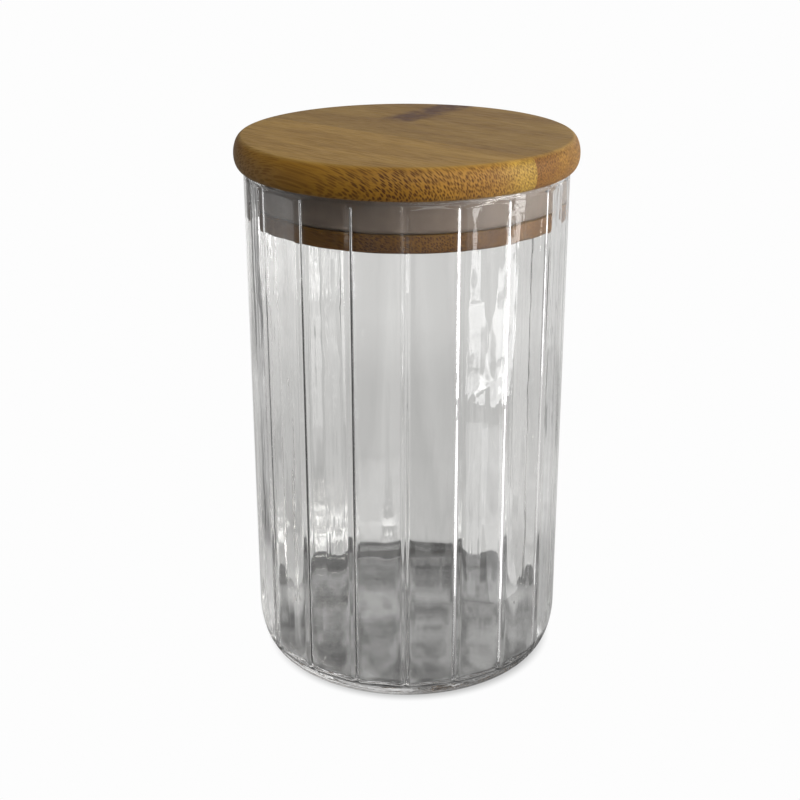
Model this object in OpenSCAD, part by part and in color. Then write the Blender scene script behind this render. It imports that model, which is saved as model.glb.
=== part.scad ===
// Lidded glass canister: a round glass jar, ribbed inside, closed by a
// bamboo lid with a plug that carries a silicone seal.
// Millimetres. Origin at the middle of the standing face, +Z up, front at -Y.

/* [Jar] */
// Outer diameter of the glass
jar_d = 100; // [90:1:130]
// Height of the glass, standing face to rim
jar_h = 161.4; // [120:0.1:220]
// Thickness of the wall at the middle of a flat inner panel
wall_t = 2.3; // [2:0.1:3.4]
// Thickness of the floor above the standing face
floor_t = 4.2; // [3.6:0.1:7]
// Radius of the inside corner between floor and wall
floor_r = 4.6; // [3:0.1:6]
// Radius on the outer edge of the rim
rim_r = 0.8; // [0.3:0.1:1]
// Radius on the inner edge of the rim
rim_in_r = 1.6; // [0.5:0.1:1.7]
// Height of the round collar above the flat inner panels
collar_h = 3.2; // [2.6:0.1:6]
// How far the outer bottom corner comes in from the wall
foot_in = 6.4; // [3:0.1:8]
// How high the outer bottom corner reaches
foot_up = 13.7; // [6:0.1:16]
// Depth of the hollow under the base
punt_h = 0.6; // [0.2:0.1:1.5]
// Radius of the hollow under the base
punt_r = 38; // [20:1:40]

/* [Ribs] */
// Number of ribs down the inside of the wall, one at each corner of the panels
rib_n = 18; // [14:1:24]
// Width of a rib at its root
rib_w = 4; // [2.4:0.1:5]
// How far a rib stands in from the corner between two panels
rib_h = 1.35; // [0.9:0.05:1.8]
// How far the crests of the ribs stand in from the collar
rib_proud = 0.1; // [0.05:0.05:0.3]
// How far below the rim's inner round the ribs stop
rib_stop = 0.4; // [0.2:0.1:0.8]
// Angle of the first rib, from the front towards the left
rib_turn = 0.8; // [0:0.1:20]

/* [Lid] */
// Thickness of the lid above the rim
lid_t = 9.6; // [8:0.1:14]
// How far the lid's edge stands out past the glass
lid_over = 2.8; // [1:0.1:5]
// How far the round on the top edge comes in
edge_in = 2.7; // [1.5:0.1:4]
// How far down the lid's widest line lies
edge_down = 5.4; // [3:0.1:6]
// How far the round on the lower edge comes in
under_in = 2.2; // [1:0.1:3]
// Direction of the grain, from the front towards the right
grain_turn = 52; // [0:1:90]
// Place of the glue line between the boards, from the lid's axis towards the right
joint_off = -7.2; // [-20:0.1:20]

/* [Plug and seal] */
// Depth of the plug below the lid
plug_h = 15.8; // [14:0.1:22]
// Height of the flange at the plug's lower end
flange_h = 5.4; // [4:0.1:8]
// Gap between the flange and the crests of the ribs
flange_gap = 0.4; // [0.3:0.1:1]
// Round on the lower edge of the flange
flange_r = 1; // [0.5:0.1:2]
// Depth of the seal's groove, in from the flange
groove_t = 3.2; // [2:0.1:5]
// Gap between the seal and the crests of the ribs
seal_gap = 0.2; // [0.15:0.05:0.4]
// Free height left above the seal in its groove
seal_slack = 0.3; // [0.2:0.1:0.8]
// Radius of the seal's upper and lower shoulders
seal_round = 2; // [1:0.1:2.5]

/* [Hidden] */
$fn = 96;
arc_n = 10;        // straight steps in each rounded corner of an outline
over = 5;          // how far a cutting shape runs past what it cuts
corner_cut = 0.1;  // how far the panels' corners are taken off, under the ribs

jar_r = jar_d / 2;
panel_r = jar_r - wall_t;                // middle of a flat inner panel
corner_r = panel_r / cos(180 / rib_n);   // corner between two panels
space_r = corner_r - corner_cut;         // the space's radius before the panels cut it
crest_r = corner_r - rib_h;              // crests of the ribs
collar_r = crest_r + rib_proud;
collar_z = jar_h - collar_h;
rib_r = (pow(rib_w / 2, 2) + pow(rib_h, 2)) / (2 * rib_h);   // curve of a rib
lid_r = jar_r + lid_over;
lid_top = jar_h + lid_t;
under_up = lid_t - edge_down;            // height of the lower edge's round
plug_r = crest_r - flange_gap;
plug_z = jar_h - plug_h;                 // underside of the plug
groove_z = plug_z + flange_h;            // lower face of the groove
groove_r = plug_r - groove_t;            // bottom of the groove
seal_r = crest_r - seal_gap;
seal_z = jar_h - seal_slack;             // top of the seal

// Points of an elliptical corner about (r, z), from angle a to angle b.
function corner(r, z, rad_r, rad_z, a, b) =
    [for (i = [0:arc_n]) let (t = a + (b - a) * i / arc_n)
        [r + rad_r * cos(t), z + rad_z * sin(t)]];

// The hollow under the base, from its middle out to the standing face.
function punt_points() =
    [for (i = [0:arc_n]) let (s = i / arc_n) [punt_r * s, punt_h * (1 - s * s)]];

// Solid of the jar's outside.
module jar_outside() {
    rotate_extrude()
        polygon(concat(
            punt_points(),
            corner(jar_r - foot_in, foot_up, foot_in, foot_up, -90, 0),
            corner(jar_r - rim_r, jar_h - rim_r, rim_r, rim_r, 0, 90),
            [[0, jar_h]]));
}

// Direction of rib number i.
function rib_angle(i) = -90 - rib_turn + i * 360 / rib_n;

// Prism whose sides are the flat inner panels, with a corner at each rib.
module panel_prism() {
    linear_extrude(height = collar_z)
        polygon([for (i = [0:rib_n - 1]) corner_r * [cos(rib_angle(i)), sin(rib_angle(i))]]);
}

// Space inside the jar, below the collar, with the rounded corner of the floor.
module panel_space() {
    intersection() {
        panel_prism();
        rotate_extrude()
            polygon(concat(
                [[0, floor_t]],
                corner(space_r - floor_r, floor_t + floor_r, floor_r, floor_r, -90, 0),
                [[space_r, jar_h], [0, jar_h]]));
    }
}

// Space inside the collar, with the rounded inner edge of the rim.
module collar_space() {
    rotate_extrude()
        polygon(concat(
            [[0, collar_z - over], [collar_r, collar_z - over]],
            corner(collar_r + rim_in_r, jar_h - rim_in_r, rim_in_r, rim_in_r, 180, 90),
            [[collar_r + rim_in_r, jar_h + over], [0, jar_h + over]]));
}

// The ribs, as upright rods that stand partly inside the wall.
module ribs() {
    for (i = [0:rib_n - 1])
        rotate([0, 0, rib_angle(i)])
            translate([crest_r + rib_r, 0, 0])
                cylinder(r = rib_r, h = jar_h - rim_in_r - rib_stop);
}

module glass_jar() {
    color([0.86, 0.89, 0.88, 0.35])
        difference() {
            jar_outside();
            difference() {
                union() {
                    panel_space();
                    collar_space();
                }
                ribs();
            }
        }
}

module seal_ring() {
    color([0.62, 0.58, 0.55])
        rotate_extrude()
            polygon(concat(
                [[groove_r, groove_z]],
                corner(seal_r - seal_round, groove_z + seal_round, seal_round, seal_round, -90, 0),
                corner(seal_r - seal_round, seal_z - seal_round, seal_round, seal_round, 0, 90),
                [[groove_r, seal_z]]));
}

module lid_plug() {
    color([0.62, 0.46, 0.26])
        rotate_extrude()
            polygon(concat(
                [[0, plug_z]],
                corner(plug_r - flange_r, plug_z + flange_r, flange_r, flange_r, -90, 0),
                [[plug_r, groove_z], [groove_r, groove_z], [groove_r, jar_h], [0, jar_h]]));
}

// The whole lid board, before the glue line parts it.
module lid_disc() {
    rotate_extrude()
        polygon(concat(
            [[0, jar_h]],
            corner(lid_r - under_in, jar_h + under_up, under_in, under_up, -90, 0),
            corner(lid_r - edge_in, jar_h + under_up, edge_in, edge_down, 0, 90),
            [[0, lid_top]]));
}

// Everything on the right of the glue line, seen along the grain.
module right_of_glue_line() {
    side = lid_r + over;
    rotate([0, 0, grain_turn])
        translate([joint_off, -side, 0])
            cube([2 * side, 2 * side, lid_top + over]);
}

module lid_board_left() {
    color([0.72, 0.56, 0.34])
        difference() {
            lid_disc();
            right_of_glue_line();
        }
}

module lid_board_right() {
    color([0.62, 0.42, 0.20])
        intersection() {
            lid_disc();
            right_of_glue_line();
        }
}

glass_jar();
seal_ring();
lid_plug();
lid_board_left();
lid_board_right();
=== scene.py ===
import math

import bmesh
import bpy
import numpy as np
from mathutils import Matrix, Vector

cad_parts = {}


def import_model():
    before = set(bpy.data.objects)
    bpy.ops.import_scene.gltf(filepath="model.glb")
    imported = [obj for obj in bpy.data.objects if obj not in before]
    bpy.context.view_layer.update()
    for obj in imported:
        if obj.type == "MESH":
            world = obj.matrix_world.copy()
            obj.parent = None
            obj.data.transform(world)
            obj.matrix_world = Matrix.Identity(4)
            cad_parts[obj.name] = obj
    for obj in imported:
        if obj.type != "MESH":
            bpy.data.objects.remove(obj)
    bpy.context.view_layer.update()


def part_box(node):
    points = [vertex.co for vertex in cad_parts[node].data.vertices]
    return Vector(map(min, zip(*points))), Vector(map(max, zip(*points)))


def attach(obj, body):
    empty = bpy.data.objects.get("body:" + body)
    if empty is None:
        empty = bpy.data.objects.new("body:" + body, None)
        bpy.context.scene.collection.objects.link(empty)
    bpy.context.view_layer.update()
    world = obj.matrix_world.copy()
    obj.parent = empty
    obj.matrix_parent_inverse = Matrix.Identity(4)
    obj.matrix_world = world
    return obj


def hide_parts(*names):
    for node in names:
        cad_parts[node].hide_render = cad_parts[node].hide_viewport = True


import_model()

MM = 0.001

# ---------------------------------------------------------------- sizes
# Outer sizes come from the frame; the rest repeats part.scad, in metres.
JAR_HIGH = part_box("glass_jar")[1]
JAR_R, JAR_H = JAR_HIGH.x, JAR_HIGH.z
PANEL_R = JAR_R - 2.3 * MM          # middle of a flat inner panel
FLOOR_T = 4.2 * MM
FLOOR_R = 4.6 * MM
RIM_R, RIM_IN_R = 0.8 * MM, 1.6 * MM
COLLAR_H = 2.0 * MM                 # round collar above the panels, shorter than in part.scad
COLLAR_ARCH = 0.6 * MM              # how much lower the collar ends at a rib
COLLAR_BLEND = 0.7 * MM             # how softly the panels start below it
COLLAR_PROUD = 0.1 * MM             # collar, out from the crests of the ribs
RIM_SINK = 0.35 * MM                # how much the rim sinks between two ribs
FOOT_IN, FOOT_UP = 6.4 * MM, 13.7 * MM
PUNT_H, PUNT_R = 0.6 * MM, 38 * MM

RIB_COUNT = 18
RIB_TURN = math.radians(0.8)        # first rib, from the front to the left
CORNER_R = PANEL_R / math.cos(math.pi / RIB_COUNT)
RIB_HEIGHT = 1.35 * MM
CREST_R = CORNER_R - RIB_HEIGHT
RIB_HALF = 1.2 * MM                 # half width of a rib's steep part
RIB_FOOT = 2.2 * MM                 # how far its feet spread
PANEL_SWELL = 0.30 * MM             # bulge of a panel's middle
RIB_STRAY = math.radians(1.3)       # how far the ribs stray from even spacing
OUTER_WAVE = 0.012 * MM             # unevenness of the outside, the inside and the floor
INNER_WAVE = 0.03 * MM
FLOOR_WAVE = 0.09 * MM

LID_LOW, LID_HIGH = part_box("lid_board_left")
LID_R = -LID_LOW.x
LID_Z0, LID_Z1 = LID_LOW.z, LID_HIGH.z
EDGE_IN, EDGE_DOWN, UNDER_IN = 2.7 * MM, 5.4 * MM, 2.2 * MM
GRAIN_TURN = math.radians(52)       # direction of the grain, from the front
JOINT_OFF = -7.2 * MM               # glue line, from the lid's axis towards the right

PLUG_LOW, PLUG_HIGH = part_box("lid_plug")
PLUG_R, PLUG_Z0 = PLUG_HIGH.x, PLUG_LOW.z
PLUG_ROUND = 1.0 * MM
SEAL_LOW, SEAL_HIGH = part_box("seal_ring")
SEAL_R, SEAL_Z0, SEAL_Z1 = SEAL_HIGH.x, SEAL_LOW.z, SEAL_HIGH.z
GROOVE_R = PLUG_R - 3.2 * MM
SEAL_ROUND = 2.0 * MM
TURNED_COLUMNS = 240                # columns round the seal, the plug and the lid


# ---------------------------------------------------------------- meshes
def arc(r, z, rad_r, rad_z, start, end, steps=10):
    """Points (r, z) of an elliptical corner, from angle start to end in degrees."""
    angles = np.radians(np.linspace(start, end, steps + 1))
    return [(r + rad_r * math.cos(a), z + rad_z * math.sin(a)) for a in angles]


def line(start, end, steps):
    """Points between start and end, without the two ends."""
    shares = np.linspace(0, 1, steps + 1)[1:-1]
    return [tuple(np.array(start) * (1 - s) + np.array(end) * s) for s in shares]


def new_object(name, mesh):
    made = bpy.data.objects.new(name, mesh)
    bpy.context.scene.collection.objects.link(made)
    return made


def revolve(name, rows, angles):
    """A closed mesh from rows of points. rows[i] is an array (columns, 3); the first and last
    rows are single points on the axis."""
    columns = len(angles)
    points = [tuple(rows[0])]
    for row in rows[1:-1]:
        points += [tuple(p) for p in row]
    points.append(tuple(rows[-1]))
    last = len(points) - 1
    rings = len(rows) - 2
    faces = []
    for c in range(columns):
        d = (c + 1) % columns
        faces.append((0, 1 + d, 1 + c))
        for i in range(rings - 1):
            a, b = 1 + i * columns, 1 + (i + 1) * columns
            faces.append((a + c, a + d, b + d, b + c))
        top = 1 + (rings - 1) * columns
        faces.append((last, top + c, top + d))
    mesh = bpy.data.meshes.new(name)
    mesh.from_pydata(points, [], faces)
    mesh.validate()
    mesh.shade_smooth()
    return new_object(name, mesh)


def rib_angle(i):
    """Direction of rib i, counted to the right from the front one. The ribs stray a little."""
    even = -math.pi / 2 - RIB_TURN + i * 2 * math.pi / RIB_COUNT
    return even + RIB_STRAY * math.cos((i + 2) * 4 * math.pi / RIB_COUNT)


def jar_columns(per_panel=40, dense=26, reach=0.15):
    """Directions round the jar, closer together over each rib. Also each one's place between
    two ribs, from 0 to 1."""
    near = np.linspace(-reach, reach, dense, endpoint=False)
    far = np.linspace(reach, 1 - reach, per_panel - dense, endpoint=False)
    share = np.concatenate([near, far])
    angles = []
    for i in range(RIB_COUNT):
        before, here, after = rib_angle(i - 1), rib_angle(i), rib_angle(i + 1)
        width = np.where(share < 0, here - before, after - here)
        angles.append(here + share * width)
    return np.concatenate(angles), np.tile(share, RIB_COUNT) % 1


def from_rib(share):
    """Distance along the wall from the nearest rib."""
    return np.minimum(share, 1 - share) * 2 * math.pi / RIB_COUNT * CORNER_R


def panel_radius(share):
    """Inner radius of the flat panels at each place between two ribs."""
    off = (share - 0.5) * 2 * math.pi / RIB_COUNT
    return PANEL_R / np.cos(off) - PANEL_SWELL * np.sin(math.pi * share) ** 2


def rib_shape(share):
    """How high a rib stands, from 0 to 1: a rounded crest, steep flanks and wide feet."""
    rise = 1.12 - np.sqrt((from_rib(share) / RIB_HALF) ** 2 + 0.02)
    crest = 0.5 * (rise + np.sqrt(rise ** 2 + 0.008))
    feet = np.exp(-np.sqrt(from_rib(share) ** 2 + (0.3 * MM) ** 2) / RIB_FOOT)
    return 0.64 * crest + 0.41 * feet


def bell(share, width):
    """1 at a rib, falling to 0 about two widths away."""
    return np.exp(-0.5 * (from_rib(share) / width) ** 2)


def waves(angles, z, size, seed):
    """Slight unevenness of moulded glass: a few long waves round and up the wall."""
    draw = np.random.default_rng(seed)
    total = np.zeros_like(angles)
    for turns in (5, 9, 14, 23, 37):
        phase, lean = draw.uniform(0, 2 * math.pi), draw.uniform(-30, 30)
        total += np.sin(turns * angles + phase + lean * z) / turns ** 0.7
    return size * total


def ring(angles, r, z):
    """Points at radius r and height z, one for each direction."""
    return np.stack([r * np.cos(angles), r * np.sin(angles), z + 0 * angles], axis=1)


def fade(value, start, end):
    """0 at start, 1 at end, smooth in between."""
    t = np.clip((value - start) / (end - start), 0, 1)
    return t * t * (3 - 2 * t)


def glass_outside(angles, share):
    """Rows of the outside, from the middle of the base up to the rim."""
    outline = (
        [(PUNT_R * s, PUNT_H * (1 - s * s)) for s in np.linspace(0, 1, 8)]
        + arc(JAR_R - FOOT_IN, FOOT_UP, FOOT_IN, FOOT_UP, -90, 0, 16)
        + line((JAR_R, FOOT_UP), (JAR_R, JAR_H - RIM_R), 24)
        + arc(JAR_R - RIM_R, JAR_H - RIM_R, RIM_R, RIM_R, 0, 90, 6)
    )
    rows = []
    for r, z in outline:
        uneven = waves(angles, z, OUTER_WAVE, 3) * fade(r, PUNT_R, JAR_R) - OUTER_WAVE * 1.5
        rows.append(ring(angles, r + uneven * fade(r, PUNT_R, JAR_R), z + rim_dip(share, z)))
    return rows


def rim_dip(share, z):
    """The rim sinks a little between two ribs."""
    return -RIM_SINK * (1 - bell(share, 3.2 * MM)) * fade(z, JAR_H - 5 * MM, JAR_H)


def glass_inside(angles, share):
    """Rows of the inside, from the rim down to the middle of the floor. Each row has a place
    on a round outline; panels and ribs then push it out or in."""
    collar_z = JAR_H - COLLAR_H - COLLAR_ARCH * bell(share, 2.2 * MM)
    round_r = CREST_R + COLLAR_PROUD
    corner_z = FLOOR_T + FLOOR_R
    sparse_z = JAR_H - 4.5 * MM     # the rows are close together above this height
    outline = (
        arc(round_r + RIM_IN_R, JAR_H - RIM_IN_R, RIM_IN_R, RIM_IN_R, 90, 180, 8)
        + line((round_r, JAR_H - RIM_IN_R), (round_r, sparse_z), 14)
        + line((round_r, sparse_z), (round_r, corner_z), 20)
        + arc(round_r - FLOOR_R, corner_z, FLOOR_R, FLOOR_R, 0, -90, 14)
        + [(r, FLOOR_T) for r in np.linspace(round_r - FLOOR_R, 0, 20)[1:]]
    )
    rib = RIB_HEIGHT * rib_shape(share)
    section = panel_radius(share) - rib - round_r
    rows = []
    for r, z in outline:
        below_collar = 1 - fade(z, collar_z - COLLAR_BLEND, collar_z + COLLAR_BLEND)
        near_wall = fade(r, 30 * MM, 45 * MM)
        out = section * below_collar * near_wall
        out = out + waves(angles, z, INNER_WAVE, 8) * below_collar * near_wall
        lift = floor_waves(angles, r) * (1 - fade(z, FLOOR_T, corner_z))
        rows.append(ring(angles, r + out, z + lift + rim_dip(share, z)))
    return rows


def floor_waves(angles, r):
    """Uneven top of the floor: six long waves that cross each other."""
    x, y = r * np.cos(angles), r * np.sin(angles)
    draw = np.random.default_rng(21)
    total = 0 * angles
    for length in (34, 27, 21, 17, 14, 11):
        turn, phase = draw.uniform(0, 2 * math.pi, 2)
        along = (x * math.cos(turn) + y * math.sin(turn)) / (length * MM)
        total += np.sin(2 * math.pi * along + phase) * length / 34
    return FLOOR_WAVE * total * fade(r, 0, 6 * MM)


def glass_jar():
    """The whole jar as one closed mesh."""
    angles, share = jar_columns()
    rows = glass_outside(angles, share) + glass_inside(angles, share)
    rows[0], rows[-1] = (0, 0, PUNT_H), (0, 0, FLOOR_T)
    made = revolve("jar_glass", rows, angles)
    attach(made, "jar")
    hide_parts("glass_jar")
    return made


def lathe(name, outline):
    """A smooth turned solid from an outline that starts and ends on the axis."""
    angles = np.linspace(0, 2 * math.pi, TURNED_COLUMNS, endpoint=False)
    rows = [ring(angles, r, z) for r, z in outline]
    rows[0], rows[-1] = (0, 0, outline[0][1]), (0, 0, outline[-1][1])
    return revolve(name, rows, angles)


def sharpen(piece):
    """Edges sharper than 32 degrees are shaded sharp."""
    piece.data.set_sharp_from_angle(angle=math.radians(32))


def seal_ring():
    """The seal is a ring, so its mesh is closed without points on the axis."""
    outline = (
        [(GROOVE_R, SEAL_Z0)]
        + arc(SEAL_R - SEAL_ROUND, SEAL_Z0 + SEAL_ROUND, SEAL_ROUND, SEAL_ROUND, -90, 0)
        + line((SEAL_R, SEAL_Z0 + SEAL_ROUND), (SEAL_R, SEAL_Z1 - SEAL_ROUND), 6)
        + arc(SEAL_R - SEAL_ROUND, SEAL_Z1 - SEAL_ROUND, SEAL_ROUND, SEAL_ROUND, 0, 90)
        + [(GROOVE_R, SEAL_Z1)]
    )
    columns = TURNED_COLUMNS
    angles = np.linspace(0, 2 * math.pi, columns, endpoint=False)
    points = np.concatenate([ring(angles, r, z) for r, z in outline])
    count = len(outline)
    faces = [
        (
            i * columns + c,
            i * columns + (c + 1) % columns,
            (i + 1) % count * columns + (c + 1) % columns,
            (i + 1) % count * columns + c,
        )
        for i in range(count)
        for c in range(columns)
    ]
    mesh = bpy.data.meshes.new("seal_silicone")
    mesh.from_pydata([tuple(p) for p in points], [], faces)
    mesh.shade_smooth()
    made = new_object("seal_silicone", mesh)
    sharpen(made)
    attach(made, "lid")
    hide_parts("seal_ring")
    return made


def lid_plug():
    """The plug, with the groove of the seal and the flange under it."""
    groove_z = SEAL_Z0
    outline = (
        [(0, PLUG_Z0), (20 * MM, PLUG_Z0)]
        + arc(PLUG_R - PLUG_ROUND, PLUG_Z0 + PLUG_ROUND, PLUG_ROUND, PLUG_ROUND, -90, 0)
        + arc(PLUG_R - 0.3 * MM, groove_z - 0.3 * MM, 0.3 * MM, 0.3 * MM, 0, 90, 4)
        + [(GROOVE_R, groove_z), (GROOVE_R, LID_Z0), (0, LID_Z0)]
    )
    made = lathe("plug_bamboo", outline)
    sharpen(made)
    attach(made, "lid")
    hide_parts("lid_plug")
    return made


def lid_disc(name):
    """The whole lid board, with its rounded edge."""
    under_up = LID_Z1 - LID_Z0 - EDGE_DOWN
    outline = (
        [(0, LID_Z0)]
        + line((0, LID_Z0), (LID_R - UNDER_IN, LID_Z0), 6)
        + arc(LID_R - UNDER_IN, LID_Z0 + under_up, UNDER_IN, under_up, -90, 0, 14)
        + arc(LID_R - EDGE_IN, LID_Z0 + under_up, EDGE_IN, EDGE_DOWN, 0, 90, 18)[1:]
        + line((LID_R - EDGE_IN, LID_Z1), (0, LID_Z1), 8)
        + [(0, LID_Z1)]
    )
    return lathe(name, outline)


def lid_board(name, node, keep_right):
    """One of the two lid boards: the disc, cut along the glue line."""
    across = Vector((math.cos(GRAIN_TURN), math.sin(GRAIN_TURN), 0))
    made = lid_disc(name)
    mesh = bmesh.new()
    mesh.from_mesh(made.data)
    cut = bmesh.ops.bisect_plane(
        mesh,
        geom=mesh.verts[:] + mesh.edges[:] + mesh.faces[:],
        plane_co=across * JOINT_OFF,
        plane_no=across,
        clear_outer=not keep_right,
        clear_inner=keep_right,
    )
    rim = [e for e in cut["geom_cut"] if isinstance(e, bmesh.types.BMEdge)]
    bmesh.ops.holes_fill(mesh, edges=rim)
    mesh.to_mesh(made.data)
    mesh.free()
    sharpen(made)
    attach(made, "lid")
    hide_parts(node)
    return made


# ---------------------------------------------------------------- materials
def add(tree, kind, inputs=None, **settings):
    """A new shader node, with its properties and its inputs (values or sockets) set."""
    made = tree.nodes.new(kind)
    for name, value in settings.items():
        setattr(made, name, value)
    for key, value in (inputs or {}).items():
        if isinstance(value, bpy.types.NodeSocket):
            tree.links.new(value, made.inputs[key])
        else:
            made.inputs[key].default_value = value
    return made


def new_material(name):
    made = bpy.data.materials.new(name)
    made.use_nodes = True
    made.node_tree.nodes.clear()
    return made, made.node_tree


def finish_material(tree, shader):
    out = add(tree, "ShaderNodeOutputMaterial")
    tree.links.new(shader, out.inputs["Surface"])


def combine(tree, x, y, z):
    return add(tree, "ShaderNodeCombineXYZ", {"X": x, "Y": y, "Z": z}).outputs[0]


def maths(tree, operation, a, b=0.0, c=0.0):
    return add(tree, "ShaderNodeMath", {0: a, 1: b, 2: c}, operation=operation).outputs[0]


def product(tree, first, *others):
    """All the values multiplied."""
    for other in others:
        first = maths(tree, "MULTIPLY", first, other)
    return first


def measure(tree, operation, a, b=(0, 0, 0)):
    """A length, a distance or a dot product, by the name of the operation."""
    return add(tree, "ShaderNodeVectorMath", {0: a, 1: b}, operation=operation).outputs["Value"]


def object_place(tree):
    return add(tree, "ShaderNodeTexCoord").outputs["Object"]


def split(tree, vector):
    """The x, y and z of a vector."""
    return add(tree, "ShaderNodeSeparateXYZ", {0: vector}).outputs


def mix_value(tree, factor, a, b):
    return add(tree, "ShaderNodeMix", {0: factor, 2: a, 3: b}).outputs[0]


def noise(tree, vector, scale, detail=2.0, roughness=0.5):
    inputs = {"Vector": vector, "Scale": scale, "Detail": detail, "Roughness": roughness}
    return add(tree, "ShaderNodeTexNoise", inputs).outputs[0]


def smooth(tree, value, low, high, to_low=0.0, to_high=1.0):
    """value from low..high to to_low..to_high, with soft ends."""
    inputs = {"Value": value, "From Min": low, "From Max": high, "To Min": to_low, "To Max": to_high}
    return add(tree, "ShaderNodeMapRange", inputs, interpolation_type="SMOOTHSTEP").outputs[0]


def blend(tree, factor, a, b, mode="MIX"):
    """Colours a and b mixed by factor. Each is a socket or three numbers."""
    made = add(tree, "ShaderNodeMix", data_type="RGBA", blend_type=mode)
    for place, value in ((0, factor), (6, a), (7, b)):
        if isinstance(value, bpy.types.NodeSocket):
            tree.links.new(value, made.inputs[place])
        elif place:
            made.inputs[place].default_value = (*value, 1)
        else:
            made.inputs[place].default_value = value
    return made.outputs[2]


def glass_material():
    """Clear moulded glass with faint upright streaks and shallow dimples."""
    made, tree = new_material("clear_glass")
    place = object_place(tree)
    tall = add(tree, "ShaderNodeMapping", {"Vector": place, "Scale": (1000, 1000, 40)}).outputs[0]
    streaks = noise(tree, tall, 0.22, 1.5)
    dimples = noise(tree, place, 90, 1.0)
    height = maths(tree, "MULTIPLY_ADD", streaks, 1.0, dimples)
    bump = add(tree, "ShaderNodeBump", {"Strength": 1.0, "Distance": 0.13 * MM, "Height": height})
    shader = add(tree, "ShaderNodeBsdfPrincipled", {
        "Base Color": (0.985, 0.985, 0.98, 1),
        "Roughness": 0.012,
        "IOR": 1.5,
        "Transmission Weight": 1.0,
        "Normal": bump.outputs[0],
    })
    path = add(tree, "ShaderNodeLightPath")
    clear = add(tree, "ShaderNodeBsdfTransparent", {"Color": (0.93, 0.93, 0.925, 1)})
    mix = add(tree, "ShaderNodeMixShader", {0: path.outputs["Is Shadow Ray"]})
    tree.links.new(shader.outputs[0], mix.inputs[1])
    tree.links.new(clear.outputs[0], mix.inputs[2])
    finish_material(tree, mix.outputs[0])
    return made


def silicone_material():
    """Matt grey-brown silicone with a fine dust."""
    made, tree = new_material("silicone")
    place = object_place(tree)
    cloud = noise(tree, place, 160, 3.0)
    colour = blend(tree, smooth(tree, cloud, 0.3, 0.7), (0.135, 0.105, 0.084), (0.165, 0.129, 0.104))
    dust = noise(tree, place, 1500, 2.0)
    bump = add(tree, "ShaderNodeBump", {"Strength": 0.5, "Distance": 0.03 * MM, "Height": dust})
    rough = smooth(tree, dust, 0.3, 0.7, 0.42, 0.55)
    shader = add(tree, "ShaderNodeBsdfPrincipled", {
        "Base Color": colour,
        "Roughness": rough,
        "IOR": 1.41,
        "Normal": bump.outputs[0],
    })
    finish_material(tree, shader.outputs[0])
    return made


FIBRE = (math.sin(GRAIN_TURN), -math.cos(GRAIN_TURN), 0)    # direction of the bamboo's fibres


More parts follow.
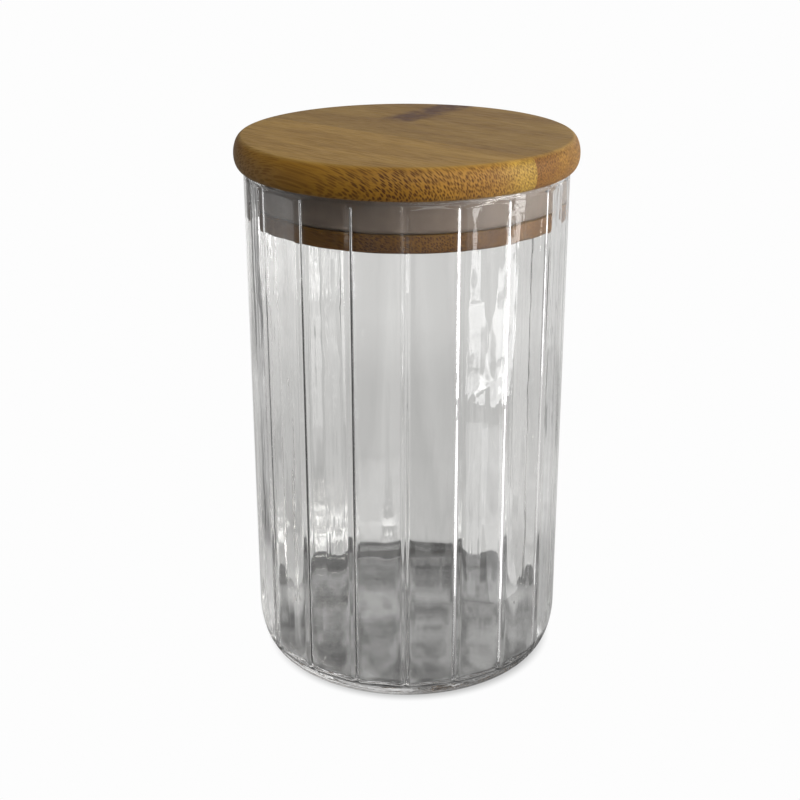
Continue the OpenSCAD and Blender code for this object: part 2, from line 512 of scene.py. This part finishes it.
def bamboo_material(name, light, dark, dot, dot_gap, drift, shift, near_line, node_band=False):
    """Bamboo: dark fibre bundles that show as dots on end grain and as dashes along the grain.
    light, dark and dot are colours; dot_gap is the spacing of the bundles at the glue line,
    drift how much it grows per mm away from the line, shift a place in the pattern, near_line
    a colour multiplied into the end grain beside the line: a painted highlight on the left board,
    the board's darker tone on the right."""
    made, tree = new_material(name)
    place = object_place(tree)
    turned = add(tree, "ShaderNodeMapping", {
        "Vector": place,
        "Rotation": (0, 0, math.pi / 2 - GRAIN_TURN),
        "Scale": (1000, 1000, 1000),
    }).outputs[0]
    part = split(tree, turned)
    along, across, up = part[0], part[1], part[2]
    slow = combine(tree, maths(tree, "MULTIPLY", along, 0.15), across, up)
    wander = maths(tree, "SUBTRACT", noise(tree, slow, 0.06), 0.5)
    up = maths(tree, "MULTIPLY_ADD", along, 0.1, up)
    up = maths(tree, "MULTIPLY_ADD", wander, 3.0, up)
    away = maths(tree, "ABSOLUTE", maths(tree, "SUBTRACT", across, JOINT_OFF / MM))
    gap = maths(tree, "MULTIPLY_ADD", away, drift, dot_gap)
    across_cell = maths(tree, "DIVIDE", across, maths(tree, "MULTIPLY", gap, 0.74))
    up_cell = maths(tree, "ADD", maths(tree, "DIVIDE", up, gap), shift)
    bundles = add(tree, "ShaderNodeTexVoronoi", {
        "Vector": combine(tree, across_cell, up_cell, 0.0),
        "Scale": 1.0,
        "Randomness": 0.7,
    }, voronoi_dimensions="2D", feature="F1")
    distance = bundles.outputs["Distance"]
    dots = smooth(tree, distance, 0.26, 0.48, 1.0, 0.0)
    chance = split(tree, bundles.outputs["Color"])[0]
    dots = product(tree, dots, smooth(tree, chance, 0.0, 0.6, 0.45, 1.0))

    facing = add(tree, "ShaderNodeTexCoord").outputs["Normal"]
    end_on = maths(tree, "ABSOLUTE", measure(tree, "DOT_PRODUCT", facing, FIBRE))
    end_on = smooth(tree, end_on, 0.05, 0.5, 0.0, 1.0)
    top = smooth(tree, split(tree, facing)[2], 0.55, 0.98)

    fine = combine(tree, maths(tree, "MULTIPLY", along, 0.04), across, up)
    strands = noise(tree, fine, 2.6, 3.0, 0.65)
    clouds = noise(tree, combine(tree, maths(tree, "MULTIPLY", along, 0.12), across, up), 0.11, 2.0)
    tone = maths(tree, "MULTIPLY_ADD", strands, 0.45, maths(tree, "MULTIPLY", clouds, 0.55))
    colour = blend(tree, smooth(tree, tone, 0.36, 0.62), dark, light)
    strength = maths(tree, "MULTIPLY_ADD", end_on, 0.60, 0.36)
    strength = product(tree, strength, smooth(tree, along, -22, 8, 0.4, 1.0))
    strength = mix_value(tree, top, strength, smooth(tree, chance, 0.55, 0.9, 0.12, 0.5))
    colour = blend(tree, maths(tree, "MULTIPLY", dots, strength), colour, dot)
    if node_band:
        ripple = noise(tree, turned, 0.14, 2.0)
        centre = maths(tree, "MULTIPLY_ADD", ripple, 6.0, -18.5)
        off = maths(tree, "ABSOLUTE", maths(tree, "SUBTRACT", along, centre))
        band = smooth(tree, off, 3.0, 7.5, 1.0, 0.0)
        patch = noise(tree, turned, 0.3, 2.0)
        spots = smooth(tree, patch, 0.3, 0.6, 0.5, 1.0)
        band = product(tree, band, spots, smooth(tree, across, 10, 17))
        colour = blend(tree, band, colour, (0.10, 0.042, 0.018))
    beside = product(tree, smooth(tree, away, 17, 2), end_on)
    # painted shade: the edge and underside are multiplied darker and warmer than the top, so the
    # paler top stands in for its sheen
    side = blend(tree, 1.0, colour, (0.86, 0.72, 0.34), "MULTIPLY")
    # beside the glue line: a painted highlight on the left board, the board's own darker tone on the
    # right board
    side = blend(tree, beside, side, near_line, "MULTIPLY")
    colour = blend(tree, top, side, colour)

    relief = maths(tree, "MULTIPLY_ADD", dots, -0.6, strands)
    bump = add(tree, "ShaderNodeBump", {"Strength": 0.5, "Distance": 0.06 * MM, "Height": relief})
    rough = maths(tree, "MULTIPLY_ADD", dots, 0.15, 0.52)
    shader = add(tree, "ShaderNodeBsdfPrincipled", {
        "Base Color": colour,
        "Roughness": rough,
        "IOR": 1.46,
        "Specular IOR Level": 0.35,
        "Normal": bump.outputs[0],
    })
    finish_material(tree, shader.outputs[0])
    return made


# ---------------------------------------------------------------- stage
def card(name, outline, strength):
    """A glowing sheet just above the floor. It shows only in reflections and through glass."""
    mesh = bpy.data.meshes.new(name)
    mesh.from_pydata([(x, y, 1 * MM) for x, y in outline], [], [tuple(range(len(outline)))])
    made = new_object(name, mesh)
    material, tree = new_material(name)
    blot = noise(tree, object_place(tree), 14, 4.0, 0.6)
    power = smooth(tree, blot, 0.36, 0.52, 0.15 * strength, strength)
    glow = add(tree, "ShaderNodeEmission", {"Color": (1, 1, 1, 1), "Strength": power})
    finish_material(tree, glow.outputs[0])
    made.data.materials.append(material)
    made.visible_camera = False


def under_jar(tree, part, reach, right, back):
    """Brightness of the mottled shadow under the jar and close round it."""
    deep = combine(tree, part[0], maths(tree, "MULTIPLY", part[1], 0.45), 0.0)
    mottle = noise(tree, deep, 105, 2.5, 0.55)
    level = smooth(tree, mottle, 0.34, 0.66, 0.09, 0.34)
    shadow = smooth(tree, mottle, 0.36, 0.64, 0.08, 0.17)
    level = mix_value(tree, smooth(tree, reach, 0.040, 0.050), level, shadow)
    sideways = smooth(tree, maths(tree, "ABSOLUTE", right), 0.80, 0.95)
    sideways = product(tree, sideways, smooth(tree, reach, 0.040, 0.046))
    level = mix_value(tree, sideways, level, 0.5)
    off = maths(tree, "ABSOLUTE", maths(tree, "SUBTRACT", reach, 0.048))
    contact = smooth(tree, off, 0.003, 0.006, 1.0, 0.0)
    contact = product(tree, contact, smooth(tree, back, 0.1, -0.3))
    return mix_value(tree, contact, level, 0.02)


def open_floor(tree, unit, reach, right, back):
    """Brightness of the floor further out: streaks that point at the jar, dark near the left
    and in front, bright on the right, and a dark flag on each side of the back."""
    streaks = noise(tree, unit, 7, 2.0, 0.5)
    level = smooth(tree, streaks, 0.35, 0.65, 0.56, 0.72)
    level = product(tree, level, smooth(tree, reach, 0.22, 0.36, 0.88, 1.08))

    near = product(tree, smooth(tree, reach, 0.50, 0.46), smooth(tree, reach, 0.09, 0.13))
    left = product(tree, smooth(tree, right, -0.72, -0.93), near)
    level = mix_value(tree, left, level, 0.10)

    close = smooth(tree, reach, 0.10, 0.16, 0.45, 0.85)
    bright = product(tree, close, smooth(tree, reach, 0.42, 0.50, 1.0, 0.6))
    level = mix_value(tree, smooth(tree, right, 0.80, 0.94), level, bright)

    front = product(tree, smooth(tree, back, -0.15, -0.35), smooth(tree, right, 0.75, 0.45))
    straight = smooth(tree, maths(tree, "ABSOLUTE", right), 0.25, 0.45, 0.20, 0.04)
    level = mix_value(tree, front, level, straight)

    left_flag = product(
        tree,
        smooth(tree, right, -0.50, -0.60),
        smooth(tree, right, -0.80, -0.70),
        smooth(tree, reach, 0.26, 0.34),
    )
    right_flag = product(
        tree,
        smooth(tree, right, 0.60, 0.66),
        smooth(tree, right, 0.76, 0.70),
        smooth(tree, reach, 0.34, 0.30),
        smooth(tree, reach, 0.17, 0.22),
    )
    flags = maths(tree, "MAXIMUM", left_flag, right_flag)
    flags = product(tree, flags, smooth(tree, back, 0.3, 0.5))
    return mix_value(tree, flags, level, 0.12)


def room_floor(tree):
    """Brightness of the floor as the glass shows it: painted light and shade of a room, with a small
    painted glint, a caustic, behind the jar.
    """
    place = object_place(tree)
    reach = measure(tree, "LENGTH", place)
    unit = add(tree, "ShaderNodeVectorMath", {0: place}, operation="NORMALIZE").outputs[0]
    right, back = split(tree, unit)[0:2]
    part = split(tree, place)
    shaded = under_jar(tree, part, reach, right, back)
    lit = open_floor(tree, unit, reach, right, back)
    wide = combine(tree, maths(tree, "MULTIPLY", part[0], 1.28), part[1], 0.0)
    edge = measure(tree, "LENGTH", wide)
    both = mix_value(tree, smooth(tree, edge, 0.067, 0.073), shaded, lit)
    # painted glint: a caustic of lamp light focused by the jar's base
    from_spot = measure(tree, "DISTANCE", place, (-0.030, 0.078, 0))
    glint = product(
        tree,
        smooth(tree, noise(tree, place, 120, 2.0), 0.45, 0.60),
        smooth(tree, from_spot, 0.006, 0.026, 1.0, 0.0),
        smooth(tree, edge, 0.069, 0.075),
    )
    return mix_value(tree, glint, both, 1.3)


def floor():
    """A glowing floor. The camera sees it white, with a painted soft contact shadow where the jar
    stands.
    """
    size = 6
    corners = [(-size, -size, 0), (size, -size, 0), (size, size, 0), (-size, size, 0)]
    mesh = bpy.data.meshes.new("floor")
    mesh.from_pydata(corners, [], [(0, 1, 2, 3)])
    made = new_object("floor", mesh)
    material, tree = new_material("floor")
    # painted contact shadow: the glow the camera sees dims to half at the jar's foot
    from_jar = measure(tree, "DISTANCE", object_place(tree), (0.7 * MM, 0, 0))
    glow_with_painted_shadow = smooth(tree, from_jar, 0.0435, 0.049, 0.5, 0.982)
    seen = add(tree, "ShaderNodeEmission", {"Color": (1, 1, 1, 1), "Strength": glow_with_painted_shadow})
    level = room_floor(tree)
    glow = add(tree, "ShaderNodeEmission", {"Color": (1.0, 0.995, 0.985, 1), "Strength": level})
    finish_material(tree, camera_sees(tree, seen, glow))
    made.data.materials.append(material)


def camera_sees(tree, seen, other):
    """The shader seen for the camera, and the other for every other ray."""
    path = add(tree, "ShaderNodeLightPath")
    mix = add(tree, "ShaderNodeMixShader", {0: path.outputs["Is Camera Ray"]})
    tree.links.new(other.outputs[0], mix.inputs[1])
    tree.links.new(seen.outputs[0], mix.inputs[2])
    return mix.outputs[0]


def world():
    """White for the camera. In reflections: a room, dim on the left and bright on the right,
    with a lamp in front and above."""
    made = bpy.data.worlds.new("studio")
    bpy.context.scene.world = made
    made.use_nodes = True
    tree = made.node_tree
    tree.nodes.clear()
    white = add(tree, "ShaderNodeBackground", {"Color": (0.98, 0.98, 0.98, 1), "Strength": 1.0})
    way = add(tree, "ShaderNodeTexCoord").outputs["Generated"]
    part = split(tree, way)
    right = smooth(tree, part[0], -0.7, 0.8, 0.22, 1.25)
    above = smooth(tree, part[2], 0.15, 0.9, 1.0, 0.45)
    blots = smooth(tree, noise(tree, way, 3.2, 2.0), 0.35, 0.65, 0.6, 1.25)
    level = product(tree, right, above, blots)
    lamp = measure(tree, "DOT_PRODUCT", way, (0.25, -0.75, 0.61))
    level = maths(tree, "MULTIPLY_ADD", smooth(tree, lamp, 0.86, 0.96), 2.2, level)
    soft = add(tree, "ShaderNodeBackground", {"Color": (1.0, 0.995, 0.99, 1), "Strength": level})
    out = add(tree, "ShaderNodeOutputWorld")
    tree.links.new(camera_sees(tree, white, soft), out.inputs[0])


def key_light():
    """A lamp low on the right, a little in front."""
    data = bpy.data.lights.new("key", "AREA")
    data.shape = "RECTANGLE"
    data.size, data.size_y = 0.35, 0.25
    data.energy = 3.6
    data.color = (1.0, 0.97, 0.92)
    light = new_object("key", data)
    place, target = Vector((0.68, -0.24, 0.32)), Vector((0, 0, 0.15))
    light.location = place
    light.rotation_euler = (target - place).to_track_quat("-Z", "Y").to_euler()


def camera():
    data = bpy.data.cameras.new("camera")
    data.sensor_width = 36
    data.lens = 65.15
    data.shift_x, data.shift_y = -0.0085, 0.0089
    made = new_object("camera", data)
    made.location = (0, -0.4405, 0.2548)
    made.rotation_euler = (math.radians(90 - 21.53), 0, 0)
    bpy.context.scene.camera = made


def paint(piece, material):
    piece.data.materials.append(material)


camera()
floor()
card("bright_patch", [
    (0.225, -0.215), (0.262, -0.175), (0.243, -0.150), (0.280, -0.120), (0.290, -0.085),
    (0.90, -0.05), (1.30, -0.08), (1.25, -0.22), (0.80, -0.23),
], 7)
card("soft_patch", [(0.077, -0.064), (0.207, -0.174), (0.257, -0.083), (0.095, -0.031)], 2.4)
world()
key_light()
bpy.context.scene.view_settings.view_transform = "Standard"
cycles = bpy.context.scene.cycles
cycles.max_bounces = cycles.transmission_bounces = cycles.glossy_bounces = 32

paint(glass_jar(), glass_material())
paint(seal_ring(), silicone_material())
paint(lid_plug(), bamboo_material(
    "bamboo_plug",
    # painted shade: the same bamboo as the boards, set much darker for the shade under the lid
    light=(0.165, 0.088, 0.016), dark=(0.098, 0.048, 0.008), dot=(0.045, 0.016, 0.003),
    dot_gap=0.6, drift=0.003, shift=0.3, near_line=(1.0, 1.0, 1.0),
))
paint(lid_board("lid_bamboo_left", "lid_board_left", False), bamboo_material(
    "bamboo_left",
    light=(0.41, 0.24, 0.052), dark=(0.30, 0.165, 0.031), dot=(0.075, 0.028, 0.004),
    # near_line here paints a pale highlight on the end grain beside the glue line
    dot_gap=0.58, drift=0.006, shift=0.0, near_line=(1.15, 1.45, 1.8),
))
paint(lid_board("lid_bamboo_right", "lid_board_right", True), bamboo_material(
    "bamboo_right",
    light=(0.33, 0.195, 0.045), dark=(0.24, 0.13, 0.028), dot=(0.075, 0.030, 0.005),
    dot_gap=0.56, drift=0.005, shift=0.7, near_line=(0.80, 0.70, 0.55), node_band=True,
))
